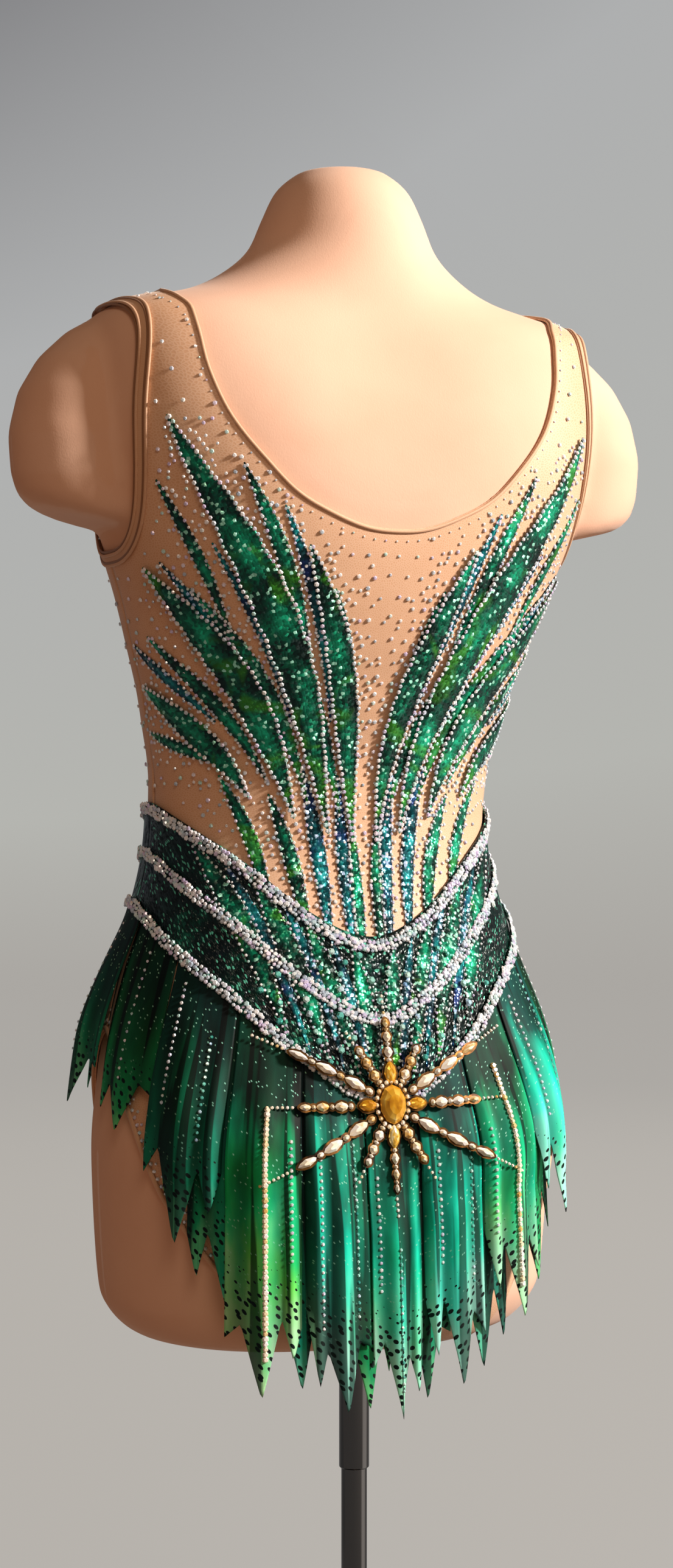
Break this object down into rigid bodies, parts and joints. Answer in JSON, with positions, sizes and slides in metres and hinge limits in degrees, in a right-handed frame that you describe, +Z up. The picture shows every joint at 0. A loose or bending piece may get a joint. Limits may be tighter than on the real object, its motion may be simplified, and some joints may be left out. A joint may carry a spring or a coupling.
{
  "type": "rhythmic gymnastics leotard on a limbless dress form with a pole stand",
  "caption": "Sleeveless skirted competition leotard with a scooped mesh back, leaf appliques and petal skirt, worn by a limbless dress form on a pole and round base.",
  "frame": {"origin": "centre of the round base's underside, on the pole's axis", "axes": "+Z up along the pole; the wearer faces +Y, so the scooped back and long skirt face -Y; +X is the wearer's right"},
  "size_m": [0.442, 0.3118, 1.002],
  "materials": {
    "form_jersey": "matt tan knitted cover stretched over a smooth form",
    "stand_metal": "polished, plain",
    "nude_mesh": "fine skin-tone stretch mesh",
    "binding": "skin-tone elastic binding, satin",
    "dark_cloth": "black-green stretch cloth with fine glitter",
    "silver_stones": "faceted silver-clear stones set close together",
    "green_sequins": "emerald sequins with silver stone edges",
    "skirt_cloth": "sheer dip-dyed cloth, emerald to turquoise and yellow-green",
    "skirt_dark": "sheer dark green cloth",
    "gold_beads": "cream and gold cut stones",
    "amber_stone": "amber cut glass"
  },
  "bodies": {
    "root": {"form": "form_jersey", "pole": "stand_metal", "collar": "stand_metal", "base": "stand_metal", "suit_back": "nude_mesh", "suit_front": "nude_mesh", "gusset": "nude_mesh", "neck_binding": "binding", "armhole_binding_left": "binding", "armhole_binding_right": "binding", "leg_binding_left": "binding", "leg_binding_right": "binding", "yoke_back": "dark_cloth", "yoke_front": "dark_cloth", "band_upper_back": "silver_stones", "band_middle_back": "silver_stones", "band_seam_back": "silver_stones", "band_upper_front": "silver_stones", "band_middle_front": "silver_stones", "band_seam_front": "silver_stones", "leaf_inner_right": "green_sequins", "leaf_tall_right": "green_sequins", "leaf_armpit_right": "green_sequins", "leaf_side_right": "green_sequins", "leaf_inner_left": "green_sequins", "leaf_tall_left": "green_sequins", "leaf_armpit_left": "green_sequins", "leaf_side_left": "green_sequins", "back_petal_outer_1": "skirt_cloth", "back_petal_outer_2": "skirt_cloth", "back_petal_outer_3": "skirt_cloth", "back_petal_outer_4": "skirt_cloth", "back_petal_outer_5": "skirt_cloth", "back_petal_outer_6": "skirt_cloth", "back_petal_outer_7": "skirt_cloth", "back_petal_inner_1": "skirt_dark", "back_petal_inner_2": "skirt_dark", "back_petal_inner_3": "skirt_dark", "back_petal_inner_4": "skirt_dark", "back_petal_inner_5": "skirt_dark", "back_petal_inner_6": "skirt_dark", "back_petal_inner_7": "skirt_dark", "back_petal_inner_8": "skirt_dark", "front_petal_right_1": "skirt_dark", "front_petal_right_2": "skirt_dark", "front_petal_right_3": "skirt_dark", "front_petal_right_4": "skirt_dark", "front_petal_right_5": "skirt_dark", "front_petal_right_6": "skirt_dark", "front_petal_left_1": "skirt_dark", "front_petal_left_2": "skirt_dark", "front_petal_left_3": "skirt_dark", "front_petal_left_4": "skirt_dark", "front_petal_left_5": "skirt_dark", "front_petal_left_6": "skirt_dark", "sunburst": "gold_beads", "centre_stone": "amber_stone"}
  },
  "joints": []
}
